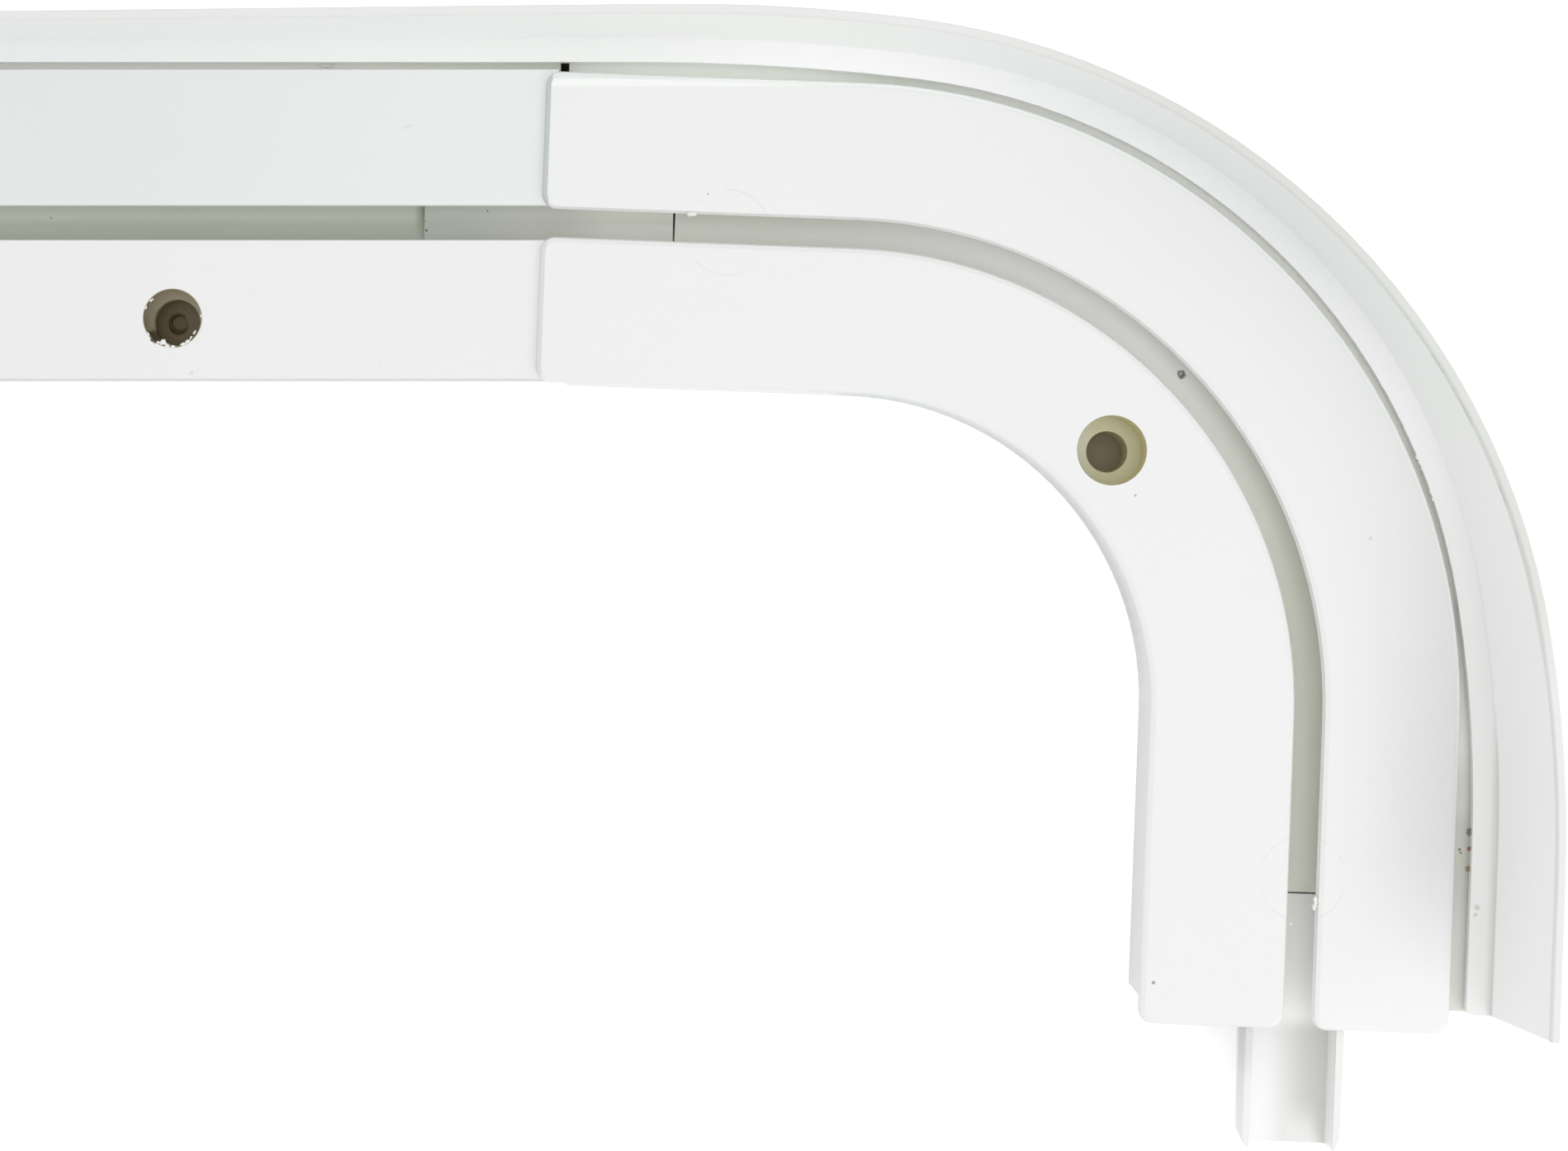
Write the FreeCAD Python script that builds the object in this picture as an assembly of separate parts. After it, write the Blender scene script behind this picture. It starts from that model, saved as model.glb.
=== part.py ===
import FreeCAD, Part
import math
import os

from FreeCAD import Vector

# Ceiling curtain track with a moulded corner, in millimetres.
# Z = 0 is the ceiling face and +Z points down into the room.
# The straight track runs along X and its front, with the fascia, is at +Y.
# The corner turns that front through a right angle, so the free leg points to -Y.
# The origin is the axis of the corner's screw hole.

# Heights above the ceiling face, shared by the track, the corner and the joiners
SEAT_LEVEL = 6.8
LEDGE_LEVEL = 12.0
LEDGE_THICKNESS = 1.4
RIDGE_HEIGHT = 0.6

# Extruded track: widths are taken from the centre line of the runner slot
TRACK_LENGTH = 125.74
TRACK_HEIGHT = 14.6
TRACK_FRONT = 24.9
TRACK_BACK = 25.2
TRACK_SLOT = 5.55
TRACK_SKIN = 1.1
TRACK_WALL = 1.2
TRACK_EDGE_RADIUS = 0.3
SIDE_INSET = 0.45
LEDGE_REACH = 4.6
RIDGE_THICKNESS = 0.7

# Screw hole drilled by hand through the track, leaning a little as it goes in
DRILL_FROM_JOINT = 59.8
DRILL_FROM_SLOT = 15.5
DRILL_ACCESS_DIAMETER = 9.3
DRILL_WEB_DIAMETER = 7.6
DRILL_SCREW_DIAMETER = 3.3
DRILL_LEAN = 1.1

# Moulded corner: radii are taken from the centre of the bend
BEND_SLOT_RADIUS = 75.8
CORNER_FRONT_SETBACK = 0.4
CORNER_BACK_LAP = 0.6
CORNER_SLOT = 4.6
CORNER_SKIN = 1.4
CORNER_WALL = 1.4
JOINT_LEG = 51.3
FREE_LEG = 50.2
TIP_RADIUS = 2.4
TIP_EDGE_RADIUS = 1.0
RIM_STEPS = 2
BODY_SETBACK = 3.94
LEDGE_SETBACK = 3.35
CORNER_SKEW = math.radians(2.12)
JOINT_GAP = 0.15
RIB_THICKNESS = 1.2
RIB_COUNT = 5
RIB_CEILING_GAP = 2.0

# Screw boss of the corner, on the bisector of the bend
SCREW_RADIUS_OF_BEND = 59.8
SCREW_HOLE_DIAMETER = 6.8
RECESS_DIAMETER = 11.35
RECESS_DEPTH = 6.6
BOSS_WALL = 1.5

# Joiner: a U-shaped channel, half in the corner and half in the next track
JOINER_LENGTH = 40.9
JOINER_WIDTH = 16.2
JOINER_HEIGHT = 6.55
JOINER_WEB = 1.2
JOINER_FLANGE = 1.3
JOINER_INNER_RADIUS = 1.0
JOINER_EDGE_RADIUS = 0.4
JOINER_TAPER = 0.2
JOINER_TAPER_LENGTH = 16.0
JOINER_NOSE_WIDTH = 1.0
JOINER_NOSE_LENGTH = 2.0
JOINER_SIDE_PLAY = 0.2
JOINER_END_GAP = 0.3
SOCKET_DEPTH = 17.36

# Fascia: a strip bent round the front, with a lip, a root below the lip and a beaded edge
STRIP_WALL = 1.2
STRIP_CEILING_GAP = 0.3
STRIP_DROP = 21.4
BEAD_RADIUS = 0.75
BEAD_LAST_ANGLE = math.radians(50)
BEAD_STEPS = 4
LIP_WIDTH = 3.87
LIP_THICKNESS = 1.2
LIP_TRACK_GAP = 1.15
LIP_BEND_GAP = 0.5
LIP_END_RADIUS = 1.4
ROOT_OFFSET = 0.35
ROOT_THICKNESS = 0.8
ROOT_PLAY = 0.05
ROOT_OVER_RIDGE = 0.15
STRIP_CENTRE_SHIFT = Vector(0.46, 0.88, 0)
STRIP_EASE_LENGTH = 32.7
STRIP_END_SETBACK = 3.2
SPRING_RADIUS = 207.0
SPRING_TURN = math.radians(11.0)
BEAD_START_LEAN = -1.78
BEAD_EASE_LEAN = -0.24
BEAD_EASE_DELAY = 4.58
BEAD_EASE_WIDEN = -85.8
BEAD_BEND_WIDEN = 7.57
BEAD_SPRING_WIDEN = -15.2

# Worked-out sizes
CORNER_HEIGHT = TRACK_HEIGHT + CORNER_SKIN
RUNNER_LEVEL = SEAT_LEVEL + JOINER_WEB
BEND_FRONT = BEND_SLOT_RADIUS + TRACK_FRONT - CORNER_FRONT_SETBACK
BEND_BACK = BEND_SLOT_RADIUS - TRACK_BACK - CORNER_BACK_LAP
JOINER_SWING = JOINER_LENGTH / 2 * math.sin(CORNER_SKEW / 2)
CHANNEL_WIDTH = JOINER_WIDTH + 2 * (JOINER_SIDE_PLAY + JOINER_SWING)
BACK_REACH = TRACK_BACK + CORNER_BACK_LAP
TRACK_UNDER_TIP = BODY_SETBACK - BACK_REACH * math.tan(CORNER_SKEW) - JOINT_GAP
BEAD_LEVEL = TRACK_HEIGHT + STRIP_DROP - BEAD_RADIUS * math.sin(BEAD_LAST_ANGLE)
JOINT = Vector(-JOINT_LEG, BEND_SLOT_RADIUS, 0)
UP = Vector(0, 0, 1)
QUARTER_TURN = math.pi / 2
BISECTOR = QUARTER_TURN / 2
SAME_POINT = 1e-6


def rounded_outline(corners):
    """Closed outline through corners, each a point and the radius that rounds it."""
    arcs = []
    for index, (point, radius) in enumerate(corners):
        before = (corners[index - 1][0] - point).normalize()
        after = (corners[(index + 1) % len(corners)][0] - point).normalize()
        half = before.getAngle(after) / 2
        middle = (before + after).normalize()
        reach = radius / math.tan(half)
        crown = point + middle * (radius / math.sin(half) - radius)
        arcs.append((point + before * reach, crown, point + after * reach))
    edges = []
    for index, (start, crown, end) in enumerate(arcs):
        last = arcs[index - 1][2]
        if last.distanceToPoint(start) > SAME_POINT:
            edges.append(Part.makeLine(last, start))
        if start.distanceToPoint(end) > SAME_POINT:
            edges.append(Part.Arc(start, crown, end).toShape())
    return Part.Wire(edges)


def section_outline(corners):
    """Outline in the plane across the track, its corners given as (across, height, radius)."""
    return rounded_outline([(Vector(0, across, height), radius)
                            for across, height, radius in corners])


def prism(outline, low, high):
    """Solid with a plan outline drawn at Z = 0 and flat ends at two heights."""
    face = Part.Face(outline)
    face.translate(UP * low)
    return face.extrude(UP * (high - low))


def cylinder(diameter, low, high, centre):
    return Part.makeCylinder(diameter / 2, high - low, Vector(centre.x, centre.y, low), UP)


def fused(shapes):
    return shapes[0].multiFuse(shapes[1:]).removeSplitter()


def skewed(shape, share=1.0):
    """Turn a shape about the joint by a share of the corner's skew."""
    shape.rotate(JOINT, UP, -math.degrees(CORNER_SKEW) * share)
    return shape


def skewed_point(point):
    turned = FreeCAD.Rotation(UP, -math.degrees(CORNER_SKEW)).multVec(point - JOINT)
    return JOINT + turned


# Straight track


def track_outline():
    """Section of the track: plates, walls and the runner slot, with the front ledge."""
    back = SIDE_INSET - TRACK_BACK
    skin_foot = TRACK_HEIGHT - TRACK_SKIN
    channel = CHANNEL_WIDTH / 2
    slot = TRACK_SLOT / 2
    reach = TRACK_FRONT + LEDGE_REACH
    ridge = reach - RIDGE_THICKNESS
    ridge_top = LEDGE_LEVEL + RIDGE_HEIGHT
    edge = TRACK_EDGE_RADIUS
    return section_outline([
        (back, 0, 0),
        (TRACK_FRONT, 0, 0),
        (TRACK_FRONT, LEDGE_LEVEL - LEDGE_THICKNESS, 0),
        (reach, LEDGE_LEVEL - LEDGE_THICKNESS, 0),
        (reach, ridge_top, 0),
        (ridge, ridge_top, 0),
        (ridge, LEDGE_LEVEL, 0),
        (TRACK_FRONT, LEDGE_LEVEL, 0),
        (TRACK_FRONT, TRACK_HEIGHT, edge),
        (slot, TRACK_HEIGHT, edge),
        (slot, skin_foot, 0),
        (channel, skin_foot, 0),
        (channel, SEAT_LEVEL, 0),
        (-channel, SEAT_LEVEL, 0),
        (-channel, skin_foot, 0),
        (-slot, skin_foot, 0),
        (-slot, TRACK_HEIGHT, edge),
        (-TRACK_BACK, TRACK_HEIGHT, edge),
        (-TRACK_BACK, skin_foot, 0),
        (back, skin_foot, 0),
    ])


def track_hollows():
    """The closed chambers of the section, above and below the web."""
    front = TRACK_FRONT - TRACK_WALL
    back = SIDE_INSET + TRACK_WALL - TRACK_BACK
    channel = CHANNEL_WIDTH / 2
    side = channel + TRACK_WALL
    web_foot = SEAT_LEVEL - TRACK_WALL
    skin_foot = TRACK_HEIGHT - TRACK_SKIN
    spans = [
        (back, -side, SEAT_LEVEL, skin_foot),
        (side, front, SEAT_LEVEL, skin_foot),
        (back, -side, TRACK_WALL, web_foot),
        (-channel, channel, TRACK_WALL, web_foot),
        (side, front, TRACK_WALL, web_foot),
    ]
    return [section_outline([(a, low, 0), (b, low, 0), (b, high, 0), (a, high, 0)])
            for a, b, low, high in spans]


def drill_centre(level):
    """Where the leaning drill crosses one of the track's plates, counted from the room."""
    return Vector(JOINT.x - DRILL_FROM_JOINT - DRILL_LEAN * level,
                  JOINT.y - DRILL_FROM_SLOT, 0)


def straight_track():
    section = Part.makeFace([track_outline()] + track_hollows(), "Part::FaceMakerBullseye")
    end = JOINT.x + TRACK_UNDER_TIP
    section.translate(Vector(end, JOINT.y, 0))
    body = section.extrude(Vector(-TRACK_LENGTH, 0, 0))
    web_foot = SEAT_LEVEL - TRACK_WALL
    access = cylinder(DRILL_ACCESS_DIAMETER, SEAT_LEVEL + TRACK_SKIN, TRACK_HEIGHT, drill_centre(0))
    web_hole = cylinder(DRILL_WEB_DIAMETER, web_foot, SEAT_LEVEL, drill_centre(1))
    screw_hole = cylinder(DRILL_SCREW_DIAMETER, 0, TRACK_WALL, drill_centre(2))
    return body.cut([access, web_hole, screw_hole])


# Moulded corner


def bend_outline(inner, outer, setback, tip):
    """Plan outline between two radii, along both legs and round the bend."""
    joint_end = setback - JOINT_LEG
    free_end = setback - FREE_LEG
    return rounded_outline([
        (Vector(joint_end, outer, 0), tip),
        (Vector(outer, outer, 0), outer),
        (Vector(outer, free_end, 0), tip),
        (Vector(inner, free_end, 0), tip),
        (Vector(inner, inner, 0), inner),
        (Vector(joint_end, inner, 0), tip),
    ])


def bend_band(inner, outer, low, high, setback):
    """Wall of the corner with square ends, between two heights."""
    return prism(bend_outline(inner, outer, setback, 0), low, high)


def corner_flat(inner, outer):
    """One of the two plates that face the room, with rounded tips and a rounded rim."""
    rim_foot = CORNER_HEIGHT - TIP_EDGE_RADIUS
    layers = [bend_outline(inner, outer, 0, TIP_RADIUS)]
    for step in range(RIM_STEPS + 1):
        angle = QUARTER_TURN * step / RIM_STEPS
        inward = TIP_EDGE_RADIUS * (1 - math.cos(angle))
        layer = bend_outline(inner + inward, outer - inward, inward, TIP_RADIUS - inward)
        layer.translate(UP * (rim_foot + TIP_EDGE_RADIUS * math.sin(angle)))
        layers.append(layer)
    layers[0].translate(UP * TRACK_HEIGHT)
    return Part.makeLoft(layers, True, True)


def corner_walls():
    """Side walls, channel walls, web, front ledge and its ridge."""
    channel = CHANNEL_WIDTH / 2
    side = channel + CORNER_WALL
    back = BEND_BACK + SIDE_INSET
    reach = BEND_FRONT + LEDGE_REACH
    low_slot = BEND_SLOT_RADIUS - side
    high_slot = BEND_SLOT_RADIUS + side
    ledge_foot = LEDGE_LEVEL - LEDGE_THICKNESS
    web_foot = SEAT_LEVEL - CORNER_WALL
    ridge_top = LEDGE_LEVEL + RIDGE_HEIGHT
    front = BEND_FRONT - CORNER_WALL
    return [
        bend_band(back, back + CORNER_WALL, 0, TRACK_HEIGHT, BODY_SETBACK),
        bend_band(low_slot, low_slot + CORNER_WALL, 0, TRACK_HEIGHT, BODY_SETBACK),
        bend_band(high_slot - CORNER_WALL, high_slot, 0, TRACK_HEIGHT, BODY_SETBACK),
        bend_band(low_slot, high_slot, web_foot, RUNNER_LEVEL, BODY_SETBACK),
        bend_band(front, BEND_FRONT, 0, TRACK_HEIGHT, BODY_SETBACK),
        bend_band(front, reach, ledge_foot, LEDGE_LEVEL, LEDGE_SETBACK),
        bend_band(reach - RIDGE_THICKNESS, reach, ledge_foot, ridge_top, LEDGE_SETBACK),
    ]


def bend_point(radius, angle):
    """Point of the bend, its angle counted from the joint leg towards the free leg."""
    return Vector(radius * math.sin(angle), radius * math.cos(angle), 0)


def radial_rib(inner, outer, angle):
    """Stiffening rib across one of the corner's side hollows."""
    half = RIB_THICKNESS / 2
    outline = rounded_outline([
        (Vector(-half, inner, 0), 0),
        (Vector(-half, outer, 0), 0),
        (Vector(half, outer, 0), 0),
        (Vector(half, inner, 0), 0),
    ])
    rib = prism(outline, RIB_CEILING_GAP, TRACK_HEIGHT)
    rib.rotate(Vector(0, 0, 0), UP, -math.degrees(angle))
    return rib


def corner_ribs():
    side = CHANNEL_WIDTH / 2 + CORNER_WALL
    seam = CORNER_WALL / 2
    back = BEND_BACK + SIDE_INSET + seam
    ribs = []
    for index in range(RIB_COUNT):
        angle = QUARTER_TURN * (index + 0.5) / RIB_COUNT
        ribs.append(radial_rib(back, BEND_SLOT_RADIUS - side + seam, angle))
        ribs.append(radial_rib(BEND_SLOT_RADIUS + side - seam, BEND_FRONT - seam, angle))
    return ribs


def joiner_seats():
    """Pockets in the web that take the joiners' thickness at both ends."""
    low = BEND_SLOT_RADIUS - CHANNEL_WIDTH / 2
    joint_end = BODY_SETBACK - JOINT_LEG
    free_end = BODY_SETBACK - FREE_LEG
    depth = RUNNER_LEVEL - SEAT_LEVEL
    return [
        Part.makeBox(SOCKET_DEPTH, CHANNEL_WIDTH, depth, Vector(joint_end, low, SEAT_LEVEL)),
        Part.makeBox(CHANNEL_WIDTH, SOCKET_DEPTH, depth, Vector(low, free_end, SEAT_LEVEL)),
    ]


def moulded_corner():
    channel = CHANNEL_WIDTH / 2
    screw = bend_point(SCREW_RADIUS_OF_BEND, BISECTOR)
    boss = cylinder(RECESS_DIAMETER + 2 * BOSS_WALL, 0, TRACK_HEIGHT, screw)
    body = fused(corner_walls() + corner_ribs() + [boss])
    runner_space = bend_band(BEND_SLOT_RADIUS - channel, BEND_SLOT_RADIUS + channel,
                             RUNNER_LEVEL, TRACK_HEIGHT, 0)
    body = body.cut([runner_space] + joiner_seats())
    slot = CORNER_SLOT / 2
    back_flat = corner_flat(BEND_BACK, BEND_SLOT_RADIUS - slot)
    front_flat = corner_flat(BEND_SLOT_RADIUS + slot, BEND_FRONT)
    corner = fused([body, back_flat, front_flat])
    recess = cylinder(RECESS_DIAMETER, CORNER_HEIGHT - RECESS_DEPTH, CORNER_HEIGHT, screw)
    screw_hole = cylinder(SCREW_HOLE_DIAMETER, 0, CORNER_HEIGHT, screw)
    return skewed(corner.cut([recess, screw_hole]))


# Joiners


def joiner_outline():
    """U-shaped section of a joiner, open towards the room."""
    half = JOINER_WIDTH / 2
    inner = half - JOINER_FLANGE
    return section_outline([
        (-half, 0, 0),
        (half, 0, 0),
        (half, JOINER_HEIGHT, JOINER_EDGE_RADIUS),
        (inner, JOINER_HEIGHT, 0),
        (inner, JOINER_WEB, JOINER_INNER_RADIUS),
        (-inner, JOINER_WEB, JOINER_INNER_RADIUS),
        (-inner, JOINER_HEIGHT, 0),
        (-half, JOINER_HEIGHT, JOINER_EDGE_RADIUS),
    ])


def joiner_nose(end, inward):
    """Waste beside one flange, where the joiner narrows towards an end and is bevelled."""
    half = JOINER_WIDTH / 2
    nose_share = 1 - JOINER_NOSE_LENGTH / JOINER_TAPER_LENGTH
    outline = rounded_outline([
        (Vector(end, half, 0), 0),
        (Vector(end + inward * JOINER_TAPER_LENGTH, half, 0), 0),
        (Vector(end + inward * JOINER_NOSE_LENGTH, half - JOINER_TAPER * nose_share, 0), 0),
        (Vector(end, half - JOINER_NOSE_WIDTH, 0), 0),
    ])
    return prism(outline, 0, JOINER_HEIGHT)


def joiner():
    """Joiner along X, its blind end at X = 0, on the seat and centred on Y = 0."""
    body = Part.Face(joiner_outline()).extrude(Vector(-JOINER_LENGTH, 0, 0))
    noses = [joiner_nose(0, -1), joiner_nose(-JOINER_LENGTH, 1)]
    across = Vector(0, 1, 0)
    noses += [nose.mirror(Vector(0, 0, 0), across) for nose in noses]
    body = body.cut(noses)
    body.translate(UP * SEAT_LEVEL)
    return body


def track_joiner():
    """Joiner across the joint, turned by half of the corner's skew."""
    piece = joiner()
    blind_end = BODY_SETBACK + SOCKET_DEPTH - JOINT_LEG - JOINER_END_GAP
    piece.translate(Vector(blind_end, BEND_SLOT_RADIUS, 0))
    return skewed(piece, 0.5)


def end_joiner():
    """Joiner left standing out of the free leg for the next track."""
    piece = joiner()
    piece.rotate(Vector(0, 0, 0), UP, 90)
    blind_end = BODY_SETBACK + SOCKET_DEPTH - FREE_LEG - JOINER_END_GAP
    piece.translate(Vector(BEND_SLOT_RADIUS, blind_end, 0))
    return skewed(piece)


# Fascia strip


def direction(heading):
    return Vector(math.cos(heading), -math.sin(heading), 0)


def outward(heading):
    return Vector(math.sin(heading), math.cos(heading), 0)


def follow(start, heading, runs, offset):
    """Edges and end point of a chain of lines and arcs, shifted outward by an offset.

    A run with no radius is a line and its second value is a length.
    A run with a radius is an arc that turns clockwise by its second value.
    """
    edges = []
    point = start
    for radius, amount in runs:
        first = point + outward(heading) * offset
        if radius is None:
            point = point + direction(heading) * amount
            edges.append(Part.makeLine(first, point + outward(heading) * offset))
            continue
        centre = point - outward(heading) * radius
        middle = centre + outward(heading + amount / 2) * (radius + offset)
        heading += amount
        point = centre + outward(heading) * radius
        last = point + outward(heading) * offset
        edges.append(Part.Arc(first, middle, last).toShape())
    return edges, point, heading


def lip_runs():
    """Chain of the lip's inner edge: along the track, eased round the bend, sprung off."""
    bend_radius = BEND_FRONT + LIP_BEND_GAP
    bend_centre = skewed_point(Vector(0, 0, 0)) + STRIP_CENTRE_SHIFT
    track_line = BEND_SLOT_RADIUS + TRACK_FRONT + LIP_TRACK_GAP
    start = Vector(JOINT.x + TRACK_UNDER_TIP - TRACK_LENGTH, track_line, 0)
    dip = track_line - bend_centre.y - bend_radius
    radius_drop = (STRIP_EASE_LENGTH ** 2 + dip ** 2) / (2 * dip)
    ease_turn = math.atan2(STRIP_EASE_LENGTH, radius_drop - dip)
    bend_turn = QUARTER_TURN + CORNER_SKEW - ease_turn - SPRING_TURN
    lead = bend_centre.x - STRIP_EASE_LENGTH - start.x
    runs = [
        (None, lead),
        (bend_radius + radius_drop, ease_turn),
        (bend_radius, bend_turn),
        (SPRING_RADIUS, SPRING_TURN),
    ]
    spring_end, heading = follow(start, 0.0, runs, 0)[1:]
    free_end = skewed_point(Vector(BEND_FRONT, STRIP_END_SETBACK - FREE_LEG, 0))
    tail = (free_end - spring_end).dot(direction(heading))
    return start, runs + [(None, tail)]


def strip_outline(start, heading, runs, inner, outer):
    """Closed plan outline between two offsets from a chain."""
    far_edges = follow(start, heading, runs, outer)[0]
    near_edges, end, last_heading = follow(start, heading, runs, inner)
    across_end = Part.makeLine(end + outward(last_heading) * outer,
                               end + outward(last_heading) * inner)
    across_start = Part.makeLine(start + outward(heading) * inner,
                                 start + outward(heading) * outer)
    return Part.Wire(far_edges + [across_end] + near_edges[::-1] + [across_start])


def bead_chain(start, runs):
    """Chain of the beaded edge, which leans in at the track and out at the free end."""
    foot = LIP_WIDTH + STRIP_WALL
    lead = runs[0][1] + BEAD_EASE_DELAY
    slope = math.atan2(BEAD_EASE_LEAN - BEAD_START_LEAN, lead)
    bead_start = start + Vector(0, foot + BEAD_START_LEAN, 0)
    widen = [BEAD_EASE_WIDEN, BEAD_BEND_WIDEN, BEAD_SPRING_WIDEN]
    turns = [amount for radius, amount in runs[1:4]]
    turns[0] += slope
    bead_runs = [(None, lead)]
    for (radius, amount), turn, extra in zip(runs[1:4], turns, widen):
        bead_runs.append((radius + foot + extra, turn))
    spring_end, heading = follow(bead_start, -slope, bead_runs, 0)[1:]
    lip_end = follow(start, 0.0, runs, 0)[1]
    tail = (lip_end - spring_end).dot(direction(heading))
    return bead_start, -slope, bead_runs + [(None, tail)]


def bead(start, heading, runs):
    """Rounded edge of the strip, built up in layers from its foot to its crown."""
    layers = []
    for step in range(BEAD_STEPS + 1):
        angle = BEAD_LAST_ANGLE * (2 * step / BEAD_STEPS - 1)
        half = BEAD_RADIUS * math.cos(angle)
        layer = strip_outline(start, heading, runs, -BEAD_RADIUS - half, half - BEAD_RADIUS)
        layer.translate(UP * (BEAD_LEVEL + BEAD_RADIUS * math.sin(angle)))
        layers.append(layer)
    return Part.makeLoft(layers, True, True)


def fascia_strip():
    start, runs = lip_runs()
    foot = LIP_WIDTH + STRIP_WALL
    lip_foot = TRACK_HEIGHT - LIP_THICKNESS
    bead_foot = BEAD_LEVEL - BEAD_RADIUS * math.sin(BEAD_LAST_ANGLE)
    wall_plan = strip_outline(start, 0.0, runs, LIP_WIDTH, foot)
    lower_wall = prism(wall_plan, STRIP_CEILING_GAP, TRACK_HEIGHT)
    lip = prism(strip_outline(start, 0.0, runs, 0, foot), lip_foot, TRACK_HEIGHT)
    free_corner = follow(start, 0.0, runs, 0)[1]
    lip_corner = [edge for edge in lip.Edges
                  if all(math.hypot(vertex.X - free_corner.x, vertex.Y - free_corner.y) < SAME_POINT
                         for vertex in edge.Vertexes)]
    lip = lip.makeFillet(LIP_END_RADIUS, lip_corner)
    bead_start, bead_heading, bead_runs = bead_chain(start, runs)
    foot_half = BEAD_RADIUS * math.cos(BEAD_LAST_ANGLE)
    bead_plan = strip_outline(bead_start, bead_heading, bead_runs,
                              -BEAD_RADIUS - foot_half, foot_half - BEAD_RADIUS)
    wall_plan.translate(UP * TRACK_HEIGHT)
    bead_plan.translate(UP * bead_foot)
    upper_wall = Part.makeLoft([wall_plan, bead_plan], True, True)
    edge_bead = bead(bead_start, bead_heading, bead_runs)
    seated = prism(strip_outline(start, 0.0, runs[:3], ROOT_OFFSET, ROOT_OFFSET + ROOT_THICKNESS),
                   LEDGE_LEVEL + ROOT_PLAY, lip_foot)
    spring_start, spring_heading = follow(start, 0.0, runs[:3], 0)[1:]
    sprung = prism(strip_outline(spring_start, spring_heading, runs[3:],
                                 ROOT_OFFSET, ROOT_OFFSET + ROOT_THICKNESS),
                   LEDGE_LEVEL + RIDGE_HEIGHT + ROOT_OVER_RIDGE, lip_foot)
    return fused([lower_wall, lip, upper_wall, edge_bead, seated, sprung])


def main():
    os.makedirs("parts", exist_ok=True)
    origin = skewed_point(bend_point(SCREW_RADIUS_OF_BEND, BISECTOR))
    pieces = {
        "straight_track": straight_track(),
        "moulded_corner": moulded_corner(),
        "track_joiner": track_joiner(),
        "end_joiner": end_joiner(),
        "fascia_strip": fascia_strip(),
    }
    for name, shape in pieces.items():
        shape.translate(-origin)
        shape.exportStep("parts/" + name + ".step")
        print(name, "solids", len(shape.Solids), "valid", shape.isValid(), "volume", round(shape.Volume))


main()
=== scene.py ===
import math
from collections import namedtuple

import bmesh
import bpy
from mathutils import Matrix, Vector, noise


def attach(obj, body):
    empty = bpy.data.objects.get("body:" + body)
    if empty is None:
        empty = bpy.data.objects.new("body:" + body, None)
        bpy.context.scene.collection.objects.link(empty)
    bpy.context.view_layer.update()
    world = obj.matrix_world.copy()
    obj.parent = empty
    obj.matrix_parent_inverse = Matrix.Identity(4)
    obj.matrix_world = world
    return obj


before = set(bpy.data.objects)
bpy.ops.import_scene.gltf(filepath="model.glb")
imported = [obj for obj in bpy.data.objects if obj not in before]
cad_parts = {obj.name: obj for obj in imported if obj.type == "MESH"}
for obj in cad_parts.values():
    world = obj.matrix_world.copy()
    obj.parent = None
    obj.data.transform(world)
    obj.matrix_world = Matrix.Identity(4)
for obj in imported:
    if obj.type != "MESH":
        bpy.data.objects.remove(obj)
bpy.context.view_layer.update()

MM = 0.001

# Photograph: frame, scale in the plane of the corner's flats, and two known pixels
PHOTO_WIDTH = 1899
PHOTO_HEIGHT = 1394
PIXELS_PER_MM = 7.5
NADIR_PIXEL = (950.0, 665.0)
SCREW_PIXEL = (1346.8, 545.3)
CAMERA_HEIGHT = 416.0
SENSOR_WIDTH = 36.0

# Levels above the ceiling face, in millimetres
CORNER_TOP = 16.0
TRACK_TOP = 14.6
LEDGE_TOP = 12.0
SEAT_TOP = 8.0
CHANNEL_FLOOR = 6.8
DRILLED_WEB = 6.2

# Plan of the part, in millimetres from the axis of the corner's screw hole
SCREW_CENTRE = (0.0, 0.0)
BEND_CENTRE = (-43.82, -40.69)
DRILL_CENTRE = (-152.08, 21.45)
SLOT_LINE = 36.954
CORNER_SKEW = math.radians(2.12)
TIP_REACH = -94.3

# Even light from the world, and a key light from the lower right of the photograph
WORLD_STRENGTH = 0.805
WORLD_WHITE = (1.0, 1.0, 1.0, 1.0)
LIGHT_DISTANCE = 900.0
LIGHT_TARGET = (-50.0, -20.0, 0.0)
KEY = {"azimuth": -45, "elevation": 40, "size": 500, "power": 1.24}
TOP = {"azimuth": 0, "elevation": 88, "size": 600, "power": 0.89}

Spot = namedtuple("Spot", "pixel level radius colour cover")
Scratch = namedtuple("Scratch", "start end level width cover")
Lump = namedtuple("Lump", "pixel level size turn")


def photo_point(pixel, height):
    """Place of a pixel of the photograph at a height, both in millimetres."""
    distance = CAMERA_HEIGHT - CORNER_TOP
    scale = PIXELS_PER_MM * distance / (CAMERA_HEIGHT - height)
    x = (NADIR_PIXEL[0] - SCREW_PIXEL[0]) / PIXELS_PER_MM + (pixel[0] - NADIR_PIXEL[0]) / scale
    y = (SCREW_PIXEL[1] - NADIR_PIXEL[1]) / PIXELS_PER_MM + (NADIR_PIXEL[1] - pixel[1]) / scale
    return x, y


def paint(colour):
    """Linear colour, with alpha, from 8-bit sRGB values."""
    linear = []
    for value in colour:
        share = value / 255
        linear.append(share / 12.92 if share <= 0.04045 else ((share + 0.055) / 1.055) ** 2.4)
    return (*linear, 1.0)


# Materials

STROKE_SHARPNESS = 3

# Places of the factor, the two colours and the result on a colour mix node
MIX_FACTOR = 0
MIX_FIRST = 6
MIX_SECOND = 7
MIX_RESULT = 2


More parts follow.
